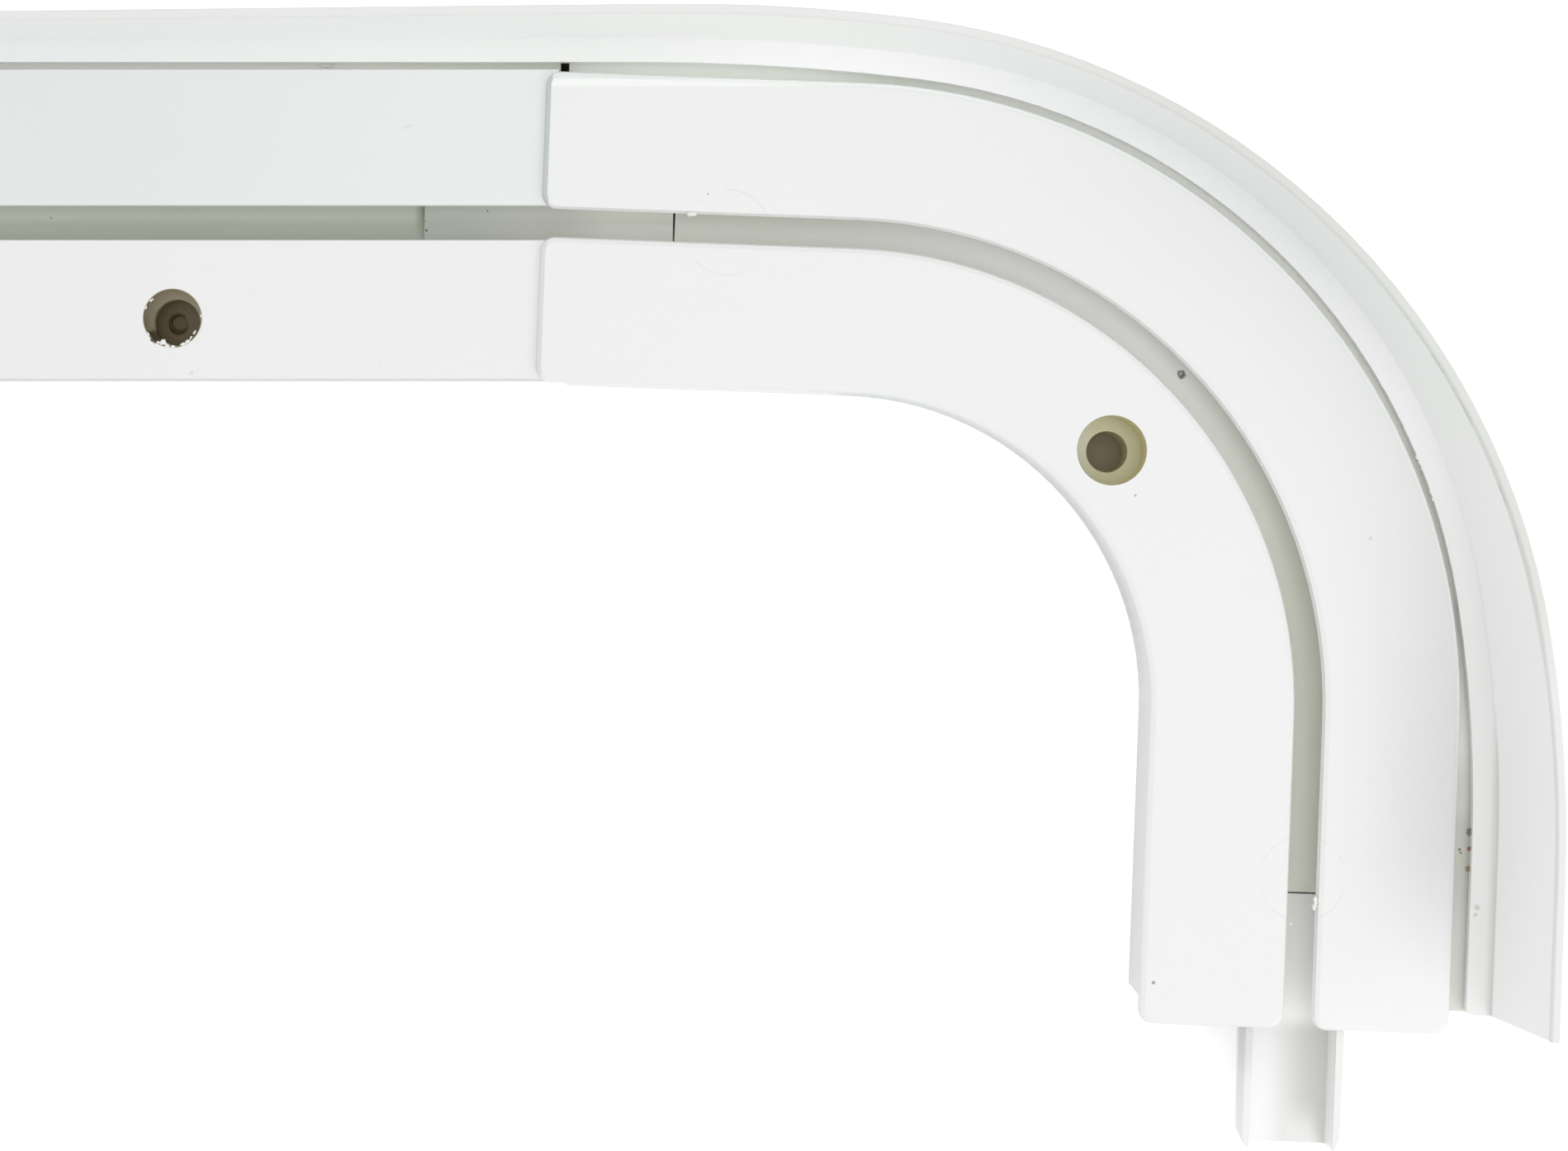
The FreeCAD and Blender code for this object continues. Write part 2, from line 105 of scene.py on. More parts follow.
class Finish:
    """Node material of one piece, worked out from the place on the piece in millimetres.

    A colour is a socket or 8-bit sRGB values. A span says where a change starts and where
    it is full. A band has two sides and says how soft they are.
    """

    def __init__(self, name):
        self.material = bpy.data.materials.new(name)
        self.material.use_nodes = True
        self.nodes = self.material.node_tree.nodes
        self.links = self.material.node_tree.links
        self.shader = self.nodes["Principled BSDF"]
        place = self.nodes.new("ShaderNodeTexCoord").outputs["Object"]
        scaled = self.nodes.new("ShaderNodeVectorMath")
        scaled.operation = "SCALE"
        scaled.inputs["Scale"].default_value = 1 / MM
        self.links.new(place, scaled.inputs[0])
        self.place = scaled.outputs[0]
        self.x, self.y, self.z = self.split(self.place)
        normal = self.nodes.new("ShaderNodeNewGeometry").outputs["Normal"]
        self.facing_up = self.split(normal)[2]

    def split(self, vector):
        node = self.nodes.new("ShaderNodeSeparateXYZ")
        self.links.new(vector, node.inputs[0])
        return node.outputs

    def feed(self, socket, value):
        """Links a socket to an input or sets the input, where a tuple is a colour."""
        if isinstance(value, bpy.types.NodeSocket):
            self.links.new(value, socket)
        elif isinstance(value, tuple):
            linear = paint(value)
            socket.default_value = linear[:3] if socket.type == "VECTOR" else linear
        else:
            socket.default_value = value

    def math(self, operation, *values):
        node = self.nodes.new("ShaderNodeMath")
        node.operation = operation
        for socket, value in zip(node.inputs, values):
            self.feed(socket, value)
        return node.outputs[0]

    def product(self, *masks):
        result = masks[0]
        for mask in masks[1:]:
            result = self.math("MULTIPLY", result, mask)
        return result

    def step(self, value, low, high):
        """0 below low and 1 above high, eased between; the other way round if low > high."""
        node = self.nodes.new("ShaderNodeMapRange")
        node.interpolation_type = "SMOOTHSTEP"
        start, end = (0.0, 1.0) if low <= high else (1.0, 0.0)
        self.feed(node.inputs["Value"], value)
        node.inputs["From Min"].default_value = min(low, high)
        node.inputs["From Max"].default_value = max(low, high)
        node.inputs["To Min"].default_value = start
        node.inputs["To Max"].default_value = end
        return node.outputs[0]

    def between(self, value, low, high, soft):
        return self.product(self.step(value, low - soft, low + soft),
                            self.step(value, high + soft, high - soft))

    def length(self, across, along):
        squares = self.math("ADD", self.math("MULTIPLY", across, across),
                            self.math("MULTIPLY", along, along))
        return self.math("SQRT", squares)

    def distance(self, point):
        """Distance in plan from a point, or from the axis through it."""
        return self.length(self.math("SUBTRACT", self.x, point[0]),
                           self.math("SUBTRACT", self.y, point[1]))

    def distance_past(self, point):
        """Distance from a point that counts only what lies right of it or in front of it."""
        return self.length(self.math("MAXIMUM", self.math("SUBTRACT", self.x, point[0]), 0.0),
                           self.math("MAXIMUM", self.math("SUBTRACT", self.y, point[1]), 0.0))

    def line_distance(self, start, end):
        """Distance in plan from the line through two points."""
        way = Vector((end[0] - start[0], end[1] - start[1])).normalized()
        across = self.math("MULTIPLY", self.math("SUBTRACT", self.x, start[0]), way.y)
        along = self.math("MULTIPLY", self.math("SUBTRACT", self.y, start[1]), way.x)
        return self.math("ABSOLUTE", self.math("SUBTRACT", across, along))

    def stroke(self, start, end, width):
        """A thin straight line between two points in plan."""
        reach = math.dist(start, end)
        near = self.step(self.math("ADD", self.distance(start), self.distance(end)),
                         reach + width / 2, reach)
        return self.product(near, self.step(self.line_distance(start, end),
                                            width, width / STROKE_SHARPNESS))

    def disc(self, point, radius, soft):
        return self.step(self.distance(point), radius + soft, radius - soft)

    def noise(self, size, detail=2.0, stretch=(1.0, 1.0, 1.0), seed=0.0):
        """Noise from 0 to 1 with grains of a size in millimetres, longer by the stretch."""
        mapping = self.nodes.new("ShaderNodeMapping")
        mapping.inputs["Location"].default_value = (seed, seed, seed)
        mapping.inputs["Scale"].default_value = [1 / share for share in stretch]
        self.links.new(self.place, mapping.inputs["Vector"])
        node = self.nodes.new("ShaderNodeTexNoise")
        node.inputs["Scale"].default_value = 1 / size
        node.inputs["Detail"].default_value = detail
        self.links.new(mapping.outputs[0], node.inputs["Vector"])
        return node.outputs[0]

    def mix(self, factor, first, second):
        node = self.nodes.new("ShaderNodeMix")
        node.data_type = "RGBA"
        self.feed(node.inputs[MIX_FACTOR], factor)
        self.feed(node.inputs[MIX_FIRST], first)
        self.feed(node.inputs[MIX_SECOND], second)
        return node.outputs[MIX_RESULT]

    def ramps(self, colour, steps):
        """Colour that changes along the axes: each step has its axis, span and next colour."""
        axes = {"x": self.x, "y": self.y, "z": self.z}
        for axis, span, next_colour in steps:
            colour = self.mix(self.step(axes[axis], *span), colour, next_colour)
        return colour

    def shade(self, colour, factor):
        """Colour times a factor."""
        node = self.nodes.new("ShaderNodeVectorMath")
        node.operation = "SCALE"
        self.feed(node.inputs[0], colour)
        self.feed(node.inputs["Scale"], factor)
        return node.outputs[0]

    def finish(self, colour, roughness, bump, bump_depth):
        self.feed(self.shader.inputs["Base Color"], colour)
        self.feed(self.shader.inputs["Roughness"], roughness)
        node = self.nodes.new("ShaderNodeBump")
        node.inputs["Strength"].default_value = 1.0
        node.inputs["Distance"].default_value = bump_depth * MM
        self.feed(node.inputs["Height"], bump)
        self.links.new(node.outputs[0], self.shader.inputs["Normal"])
        return self.material


# Light and camera


def add_camera():
    data = bpy.data.cameras.new("camera")
    data.sensor_width = SENSOR_WIDTH
    seen = PHOTO_WIDTH / PIXELS_PER_MM
    data.lens = SENSOR_WIDTH * (CAMERA_HEIGHT - CORNER_TOP) / seen
    data.shift_x = (PHOTO_WIDTH / 2 - NADIR_PIXEL[0]) / PHOTO_WIDTH
    data.shift_y = (NADIR_PIXEL[1] - PHOTO_HEIGHT / 2) / PHOTO_WIDTH
    camera = bpy.data.objects.new("camera", data)
    camera.location = Vector((*photo_point(NADIR_PIXEL, CORNER_TOP), CAMERA_HEIGHT)) * MM
    bpy.context.scene.collection.objects.link(camera)
    bpy.context.scene.camera = camera


def add_area_light(name, light):
    data = bpy.data.lights.new(name, "AREA")
    data.shape = "SQUARE"
    data.size = light["size"] * MM
    data.energy = light["power"]
    azimuth = math.radians(light["azimuth"])
    elevation = math.radians(light["elevation"])
    way = Vector((math.cos(azimuth) * math.cos(elevation),
                  math.sin(azimuth) * math.cos(elevation),
                  math.sin(elevation)))
    lamp = bpy.data.objects.new(name, data)
    lamp.location = (Vector(LIGHT_TARGET) + LIGHT_DISTANCE * way) * MM
    lamp.rotation_euler = (-way).to_track_quat("-Z", "Y").to_euler()
    bpy.context.scene.collection.objects.link(lamp)


def add_world():
    """World that lights the part evenly and is plain white behind it."""
    world = bpy.data.worlds.new("studio")
    world.use_nodes = True
    nodes = world.node_tree.nodes
    links = world.node_tree.links
    background = nodes["Background"]
    background.inputs["Color"].default_value = WORLD_WHITE
    light_path = nodes.new("ShaderNodeLightPath").outputs
    seen = nodes.new("ShaderNodeMath")
    seen.operation = "MAXIMUM"
    links.new(light_path["Is Camera Ray"], seen.inputs[0])
    links.new(light_path["Is Transmission Ray"], seen.inputs[1])
    strength = nodes.new("ShaderNodeMapRange")
    strength.inputs["To Min"].default_value = WORLD_STRENGTH
    strength.inputs["To Max"].default_value = 1.0
    links.new(seen.outputs[0], strength.inputs["Value"])
    links.new(strength.outputs[0], background.inputs["Strength"])
    bpy.context.scene.world = world


# Floor: white to the camera, apart from discs of painted shade that show through the part's own holes
FLOOR_REACH = 3000.0
FLOOR_WHITE = (240, 240, 240)
FLOOR_GLOW = 0.42
FLOOR_GLOW_WHITE = (1.0, 1.0, 1.0, 1.0)
FLOOR_ROUGHNESS = 0.9
FLOOR_GRAIN = 2.0
FLOOR_GRAIN_DETAIL = 3.0
FLOOR_GRAIN_DEPTH = 0.01
# Painted shade: darker discs of floor, without the glow, under the screw hole, the drilled hole and the
# joint's gap
FLOOR_SHADE_SOFT = 0.2
FLOOR_SHADE_DISCS = [
    (SCREW_CENTRE, 6.0, (184, 176, 152)),
    ((-153.2, 21.4), 7.0, (178, 166, 136)),
    ((-89.8, 64.9), 1.6, (150, 138, 108)),
]


def floor_finish():
    finish = Finish("floor_white")
    outsides = []
    colour = FLOOR_WHITE
    for centre, radius, shade in FLOOR_SHADE_DISCS:
        outside = finish.step(finish.distance(centre), radius - FLOOR_SHADE_SOFT, radius + FLOOR_SHADE_SOFT)
        outsides.append(outside)
        colour = finish.mix(outside, shade, colour)
    light_path = finish.nodes.new("ShaderNodeLightPath").outputs
    seen = finish.math("MAXIMUM", light_path["Is Camera Ray"], light_path["Is Glossy Ray"])
    seen = finish.math("MAXIMUM", seen, light_path["Is Transmission Ray"])
    finish.shader.inputs["Emission Color"].default_value = FLOOR_GLOW_WHITE
    finish.feed(finish.shader.inputs["Emission Strength"],
                finish.product(seen, *outsides, FLOOR_GLOW))
    grain = finish.noise(FLOOR_GRAIN, FLOOR_GRAIN_DETAIL)
    return finish.finish(colour, FLOOR_ROUGHNESS, grain, FLOOR_GRAIN_DEPTH)


def add_floor():
    mesh = bpy.data.meshes.new("floor")
    reach = FLOOR_REACH * MM
    corners = [(-reach, -reach, 0), (reach, -reach, 0), (reach, reach, 0), (-reach, reach, 0)]
    mesh.from_pydata(corners, [], [(0, 1, 2, 3)])
    floor = bpy.data.objects.new("floor", mesh)
    bpy.context.scene.collection.objects.link(floor)
    mesh.materials.append(floor_finish())


# What all the plastic has in common
CLOUD_SIZE = 14.0
GRAIN_SIZE = 0.7
GRAIN_SEED_STEP = 5
ROUGHNESS = 0.34
ROUGHNESS_SPREAD = 0.14
SKIN_GRAIN = 0.5
SKIN_DEPTH = 0.008
SKIN_SEED_STEP = 2
MOTTLE = 0.01


def mottle(finish, colour, strength, seed):
    """Slight unevenness that all the plastic has: broad clouds and a fine grain."""
    clouds = finish.noise(CLOUD_SIZE, seed=seed)
    grain = finish.noise(GRAIN_SIZE, seed=seed + GRAIN_SEED_STEP)
    both = finish.math("ADD", clouds, grain)
    factor = finish.math("MULTIPLY_ADD", both, strength, 1.0 - strength)
    return finish.shade(colour, factor)


def glaze(finish, colour, grain, depth):
    """Last step of each plastic: a sheen and a skin that both follow the same grain."""
    roughness = finish.math("MULTIPLY_ADD", grain, ROUGHNESS_SPREAD, ROUGHNESS)
    return finish.finish(colour, roughness, grain, depth)


def moulded_glaze(finish, colour, seed):
    """Glaze of the moulded pieces, whose grain is even in all directions."""
    return glaze(finish, colour, finish.noise(SKIN_GRAIN, seed=seed + SKIN_SEED_STEP), SKIN_DEPTH)


# Small marks: an uneven disc's size and softness are shares of the mark's radius
SPOT_RAGGED = 1.2
SPOT_OUTER = 0.65
SPOT_INNER = 0.15
SPOT_DEPTH = 1.0
SPOT_SOFT = 0.1
GREY = (150, 150, 146)
BROWN = (120, 100, 76)
RUST = (170, 110, 84)
CREAM = (236, 222, 180)
OCHRE = (168, 148, 104)


def spots(finish, colour, marks):
    """Dirt and moulding marks, each a soft uneven disc at its own level."""
    for mark in marks:
        ragged = finish.math("MULTIPLY_ADD", finish.noise(mark.radius, seed=mark.radius),
                             -SPOT_RAGGED * mark.radius,
                             finish.distance(photo_point(mark.pixel, mark.level)))
        disc = finish.step(ragged, SPOT_OUTER * mark.radius, SPOT_INNER * mark.radius)
        level = finish.between(finish.z, mark.level - SPOT_DEPTH, mark.level + SPOT_DEPTH, SPOT_SOFT)
        colour = finish.mix(finish.product(disc, level, mark.cover), colour, mark.colour)
    return colour


def scratches(finish, colour, marks):
    """Fine straight lines in the plastic's surface."""
    for mark in marks:
        line = finish.stroke(photo_point(mark.start, mark.level), photo_point(mark.end, mark.level),
                             mark.width)
        level = finish.step(finish.z, mark.level - SPOT_DEPTH, mark.level)
        colour = finish.mix(finish.product(line, level, mark.cover), colour, GREY)
    return colour


# Where the pieces change: the slot's line, the bend's angle and the ledge below the flats
SLOT_SOFT = 1.0
LEDGE_LEVEL = (TRACK_TOP - 0.9, TRACK_TOP - 1.3)


def front_of_slot(finish):
    return finish.step(finish.y, SLOT_LINE - SLOT_SOFT, SLOT_LINE + SLOT_SOFT)


def bend_angle(finish):
    """Angle round the bend in degrees, from the joint leg to the free leg."""
    across = finish.math("SUBTRACT", finish.x, BEND_CENTRE[0])
    along = finish.math("SUBTRACT", finish.y, BEND_CENTRE[1])
    return finish.math("DEGREES", finish.math("ARCTAN2", across, along))


# Extruded track: flats
TRACK_SEED = 1.0
TRACK_MOTTLE = 0.012
TRACK_BACK_WHITE = (239, 240, 239)
TRACK_FRONT_WHITE = (236, 238, 237)
TRACK_LEFT_WHITE = (232, 234, 233)
TRACK_LEFTWARD = (-95.0, -175.0)
EXTRUSION_GRAIN = 0.9
EXTRUSION_STRETCH = (60.0, 1.0, 1.0)
EXTRUSION_DEPTH = 0.012

# Extruded track: channel under the slot, with painted shade on its web that turns to painted light
# towards the front, and painted shade at the end of the joiner
TRACK_CHANNEL_LEVEL = (SEAT_TOP + 0.6, SEAT_TOP - 0.4)
TRACK_CHANNEL_SIDE = (9.4, 9.2)
TRACK_WEB_LIGHT_SPAN = (SLOT_LINE + 0.4, SLOT_LINE + 2.2)
TRACK_WEB_SHADE = (210, 217, 203)
TRACK_WEB_LIGHT = (237, 242, 229)
JOINER_SHADE_ALONG = (-113.2, -111.0, 1.1)
JOINER_SHADE_ACROSS = (SLOT_LINE - 3.2, SLOT_LINE + 1.2)
JOINER_SHADE = (178, 176, 156)

# Extruded track: ledge in front, with painted light that gives way to painted shade near the joint, and
# side wall behind, with painted shade that darkens towards the floor
TRACK_LEDGE_SPAN = (SLOT_LINE + 24.9, SLOT_LINE + 25.1)
TRACK_LEDGE_LIGHT = (255, 255, 248)
TRACK_LEDGE_SHADE_STEPS = [("x", (-125.0, -92.0), (242, 246, 233))]
TRACK_SIDE_SPAN = (12.6, 12.3)
TRACK_SIDE_LEVEL = (14.3, 13.8)
TRACK_SIDE_SHADE_TOP = (223, 225, 226)
TRACK_SIDE_SHADE_STEPS = [("z", (12.0, 2.0), (211, 214, 215))]

# Drilled hole: radius and softness of its discs, and the levels inside it
WELL_DISC = (8.0, 0.3)
WELL_LEVEL = (13.6, 13.4)
# Painted shade inside the hole: brown in its hollow, cream on its ring of web
WELL_SHADE_BROWN = (176, 160, 124)
RIM_DISC = (4.8, 0.05)
RIM_LEVEL = (13.5, 13.6)
RIM_BROWN = (150, 138, 108)
SHELF_BAND = (5.5, 7.2, 0.1)
SHELF_SHADE_CREAM = (228, 218, 188)

TRACK_SPOTS = [
    Spot((187.0, 410.5), TRACK_TOP, 0.62, (84, 74, 54), 1.0),
    Spot((62.0, 264.0), CHANNEL_FLOOR, 0.15, GREY, 0.8),
    Spot((190.5, 410.0), DRILLED_WEB, 1.35, (128, 116, 90), 1.0),
    Spot((232.0, 452.0), TRACK_TOP, 0.3, (214, 224, 218), 0.8),
]
TRACK_SCRATCHES = [
    Scratch((486.0, 156.0), (501.0, 151.0), TRACK_TOP, 0.16, 0.14),
    Scratch((459.0, 440.0), (463.0, 452.0), TRACK_TOP, 0.14, 0.12),
]


def track_flats(finish):
    front = front_of_slot(finish)
    left = finish.step(finish.x, *TRACK_LEFTWARD)
    colour = finish.mix(front, TRACK_BACK_WHITE, TRACK_FRONT_WHITE)
    return finish.mix(finish.product(front, left), colour, TRACK_LEFT_WHITE)


def track_channel(finish, colour):
    off_slot = finish.math("ABSOLUTE", finish.math("SUBTRACT", finish.y, SLOT_LINE))
    channel = finish.product(finish.step(finish.z, *TRACK_CHANNEL_LEVEL),
                             finish.step(off_slot, *TRACK_CHANNEL_SIDE))
    # Painted shade on the web, turning to painted light towards the front, and a painted shadow beside
    # the joiner's end
    web = finish.mix(finish.step(finish.y, *TRACK_WEB_LIGHT_SPAN), TRACK_WEB_SHADE, TRACK_WEB_LIGHT)
    shade = finish.product(finish.between(finish.x, *JOINER_SHADE_ALONG),
                           finish.step(finish.y, *JOINER_SHADE_ACROSS))
    return finish.mix(channel, colour, finish.mix(shade, web, JOINER_SHADE))


def track_ledge(finish, colour):
    ledge = finish.product(finish.step(finish.y, *TRACK_LEDGE_SPAN),
                           finish.step(finish.z, *LEDGE_LEVEL))
    # Painted light on the ledge in the gap, darker towards the joint as painted shade
    return finish.mix(ledge, colour, finish.ramps(TRACK_LEDGE_LIGHT, TRACK_LEDGE_SHADE_STEPS))


def track_side(finish, colour):
    side = finish.product(finish.step(finish.y, *TRACK_SIDE_SPAN),
                          finish.step(finish.z, *TRACK_SIDE_LEVEL))
    # Painted shade on the side wall, darker towards the floor
    return finish.mix(side, colour, finish.ramps(TRACK_SIDE_SHADE_TOP, TRACK_SIDE_SHADE_STEPS))


def drilled_hole(finish, colour):
    """Painted shade inside the drilled hole, brown in its hollow and cream on the ring of web that shows
    in it, with a brown rim.
    """
    well = finish.disc(DRILL_CENTRE, *WELL_DISC)
    cavity = finish.product(well, finish.step(finish.z, *WELL_LEVEL))
    colour = finish.mix(cavity, colour, WELL_SHADE_BROWN)
    rim = finish.product(finish.disc(DRILL_CENTRE, *RIM_DISC), finish.step(finish.z, *RIM_LEVEL))
    colour = finish.mix(rim, colour, RIM_BROWN)
    shelf = finish.product(well, finish.between(finish.z, *SHELF_BAND))
    return finish.mix(shelf, colour, SHELF_SHADE_CREAM)


def track_finish():
    finish = Finish("extruded_pvc")
    colour = track_flats(finish)
    colour = track_channel(finish, colour)
    colour = track_ledge(finish, colour)
    colour = track_side(finish, colour)
    colour = mottle(finish, colour, TRACK_MOTTLE, TRACK_SEED)
    colour = drilled_hole(finish, colour)
    colour = spots(finish, colour, TRACK_SPOTS)
    colour = scratches(finish, colour, TRACK_SCRATCHES)
    lines = finish.noise(EXTRUSION_GRAIN, stretch=EXTRUSION_STRETCH, seed=TRACK_SEED + SKIN_SEED_STEP)
    return glaze(finish, colour, lines, EXTRUSION_DEPTH)


# Moulded corner: flats, where the first and last part of the turn bring some of the shade
CORNER_SEED = 11.0
CORNER_WHITE = (240, 241, 240)
CORNER_SHADED = (222, 223, 222)
TURN_PARTS = [((10.0, 40.0), 0.2), ((60.0, 100.0), 0.8)]
SHADED_ACROSS = (76.0, 100.0)
SHADED_ALONG = (-86.0, -62.0)
# Painted light on the rounded front edge, and on the outer flat towards the free tip
FRONT_EDGE_BAND = (99.5, 100.7, 0.2)
FRONT_EDGE_LEVEL = (14.5, 14.9)
FRONT_EDGE_LIGHT_GAIN = 1.09
FREE_TIP_ALONG = (-80.0, -92.0)
FREE_TIP_ACROSS = (28.0, 32.0)
FREE_TIP_LIGHT = (244, 244, 244)

# Moulded corner: walls and web of the channel under the slot, with painted light, strongest in the bend,
# and painted shade towards the free leg
CHANNEL_BAND = (66.5, 87.2, 0.3)
CHANNEL_WALL_LEVEL = (15.4, 15.0)
CHANNEL_WALL_LIGHT = (254, 254, 252)
CHANNEL_WEB_LEVEL = (SEAT_TOP + 1.4, SEAT_TOP + 0.4)
CHANNEL_WEB_LIGHT = (249, 250, 241)
WEB_BEND_LIGHT_BAND = (3.0, 50.0, 9.0)
WEB_BEND_LIGHT = (255, 255, 252)
WEB_END_SHADE_SPAN = (62.0, 84.0)
WEB_END_SHADE = (243, 245, 232)

# Moulded corner: back wall of the bend and of the free leg, with painted shade that darkens towards the
# floor and eases towards the free leg's end
BACK_OF_BEND = (50.6, 50.3)
BACK_OF_LEG_ACROSS = (6.9, 6.6)
BACK_OF_LEG_ALONG = (-40.0, -42.0)
CORNER_SIDE_LEVEL = (CORNER_TOP - 0.6, CORNER_TOP - 1.2)
CORNER_SIDE_SHADE_TOP = (216, 220, 221)
CORNER_SIDE_SHADE_STEPS = [
    ("z", (11.0, 4.0), (190, 195, 197)),
    ("y", (-26.0, -44.0), (227, 229, 230)),
]

# Moulded corner: ledge in front of the bend and of both legs, with painted light in the gap and painted
# shade along the free leg
LEDGE_OF_BEND = (100.2, 100.4)
LEDGE_OF_JOINT_LEG = (61.2, 61.4)
LEDGE_OF_FREE_LEG = (56.6, 56.8)
CORNER_LEDGE_LIGHT = (249, 253, 245)
CORNER_LEDGE_LIGHT_AND_SHADE_STEPS = [
    ("x", (-40.0, -20.0), (253, 255, 248)),
    ("y", (-20.0, -36.0), (254, 255, 249)),
    ("y", (-46.0, -55.0), (232, 234, 227)),
    ("y", (-56.0, -62.0), (221, 223, 215)),
    ("y", (-70.0, -80.0), (229, 231, 225)),
]

# Moulded corner: end faces of the tips that lap over the track, in painted shade, darker in front of the
# slot
TIP_END_SPAN = (TIP_REACH + 1.9, TIP_REACH + 1.6)
TIP_END_LEVEL = (CORNER_TOP - 0.01, CORNER_TOP - 0.06)
TIP_END_SHADE_BACK = (227, 227, 226)
TIP_END_SHADE_FRONT = (200, 206, 205)

# Moulded corner: recess and bore of the screw hole
RECESS_DISC = (5.8, 0.08)
RECESS_LEVEL = (CORNER_TOP - 0.1, CORNER_TOP - 0.5)
# Painted shade: floor and wall of the recess darker towards the right
RECESS_FLOOR_LEFT = (222, 222, 204)
RECESS_FLOOR_SHADE_STEPS = [("x", (-5.6, -1.0), (214, 210, 176))]
RECESS_WALL_LEFT = (216, 218, 206)
RECESS_WALL_SHADE_STEPS = [("x", (-4.0, 3.0), (218, 209, 162))]
FLOOR_FACING = (0.3, 0.7)
SCREW_HOLE_DISC = (3.5, 0.05)
SCREW_HOLE_LEVEL = (9.4, 9.0)
SCREW_HOLE_CREAM = (214, 206, 178)

# Moulded corner: painted shadow in the open gaps at the inner ends of the joiners
JOINT_GAP_BAND = (-71.25, -70.75, 0.05)
JOINT_GAP_ACROSS = (27.0, 27.6)
FREE_GAP_BAND = (-72.5, -72.0, 0.05)
FREE_GAP_ACROSS = (22.0, 22.6)
GAP_LEVEL = (SEAT_TOP - 0.03, SEAT_TOP - 0.1)
GAP_SHADOW_BLACK = (24, 22, 16)

# Moulded corner: two faint circles, partly worn away
WITNESS_PIXELS = [(881.6, 281.6), (1577.5, 1064.0)]
WITNESS_RADIUS = 6.9
WITNESS_LINE = (0.22, 0.04)
WITNESS_LEVEL = (15.5, 15.9)
WITNESS_GRAIN = 3.0
WITNESS_DETAIL = 1.0
WITNESS_SEED = 17.0
WITNESS_WEAR = (0.42, 0.62)
WITNESS_COVER = 0.45
WITNESS_GREY = (222, 222, 221)

CORNER_SPOTS = [
    Spot((1431.0, 453.5), SEAT_TOP, 0.72, (126, 128, 124), 1.0),
    Spot((1430.0, 452.5), SEAT_TOP, 0.28, (196, 196, 190), 1.0),
    Spot((1397.0, 1190.0), CORNER_TOP, 0.28, GREY, 0.9),
    Spot((1375.0, 600.0), CORNER_TOP, 0.2, GREY, 0.7),
    Spot((1660.0, 652.0), CORNER_TOP, 0.3, (220, 206, 203), 0.7),
    Spot((857.0, 235.0), CORNER_TOP, 0.16, GREY, 0.6),
    Spot((1780.0, 1008.0), LEDGE_TOP, 0.6, BROWN, 0.7),
    Spot((1779.5, 1028.0), LEDGE_TOP, 0.4, RUST, 0.8),
    Spot((1767.5, 1029.0), LEDGE_TOP, 0.25, BROWN, 0.8),
    Spot((1769.0, 1033.0), LEDGE_TOP, 0.2, BROWN, 0.8),
    Spot((1766.4, 1038.0), LEDGE_TOP, 0.25, CREAM, 0.9),
    Spot((1778.7, 1052.0), LEDGE_TOP, 0.55, OCHRE, 0.8),
]
CORNER_SCRATCHES = [
    Scratch((1343.0, 163.0), (1352.0, 176.0), CORNER_TOP, 0.14, 0.16),
]


def corner_flats(finish, angle, off_path):
    """Flats with painted shade towards the front as they turn, painted light on the rounded front edge
    and painted light towards the free tip.
    """
    parts = [finish.math("MULTIPLY", finish.step(angle, *span), share) for span, share in TURN_PARTS]
    shaded = finish.product(finish.step(off_path, *SHADED_ACROSS), finish.math("ADD", *parts),
                            finish.step(finish.y, *SHADED_ALONG))
    colour = finish.mix(shaded, CORNER_WHITE, CORNER_SHADED)
    edge = finish.product(finish.between(off_path, *FRONT_EDGE_BAND),
                          finish.step(finish.z, *FRONT_EDGE_LEVEL))
    colour = finish.mix(edge, colour, finish.shade(colour, FRONT_EDGE_LIGHT_GAIN))
    tip = finish.product(finish.step(finish.y, *FREE_TIP_ALONG), finish.step(finish.x, *FREE_TIP_ACROSS))
    return finish.mix(tip, colour, FREE_TIP_LIGHT)


def corner_channel(finish, colour, angle, off_path):
    in_slot = finish.between(off_path, *CHANNEL_BAND)
    walls = finish.product(in_slot, finish.step(finish.z, *CHANNEL_WALL_LEVEL))
    # Painted light on the channel's walls, and on its web most of all in the bend, with painted shade
    # towards the free leg
    colour = finish.mix(walls, colour, CHANNEL_WALL_LIGHT)
    web = finish.mix(finish.between(angle, *WEB_BEND_LIGHT_BAND), CHANNEL_WEB_LIGHT, WEB_BEND_LIGHT)
    web = finish.mix(finish.step(angle, *WEB_END_SHADE_SPAN), web, WEB_END_SHADE)
    floor = finish.product(in_slot, finish.step(finish.z, *CHANNEL_WEB_LEVEL))
    return finish.mix(floor, colour, web)


def corner_side(finish, colour, radius):
    back_of_leg = finish.product(finish.step(finish.x, *BACK_OF_LEG_ACROSS),
                                 finish.step(finish.y, *BACK_OF_LEG_ALONG))
    back = finish.math("MAXIMUM", finish.step(radius, *BACK_OF_BEND), back_of_leg)
    side = finish.product(back, finish.step(finish.z, *CORNER_SIDE_LEVEL))
    # Painted shade on the back wall
    return finish.mix(side, colour, finish.ramps(CORNER_SIDE_SHADE_TOP, CORNER_SIDE_SHADE_STEPS))


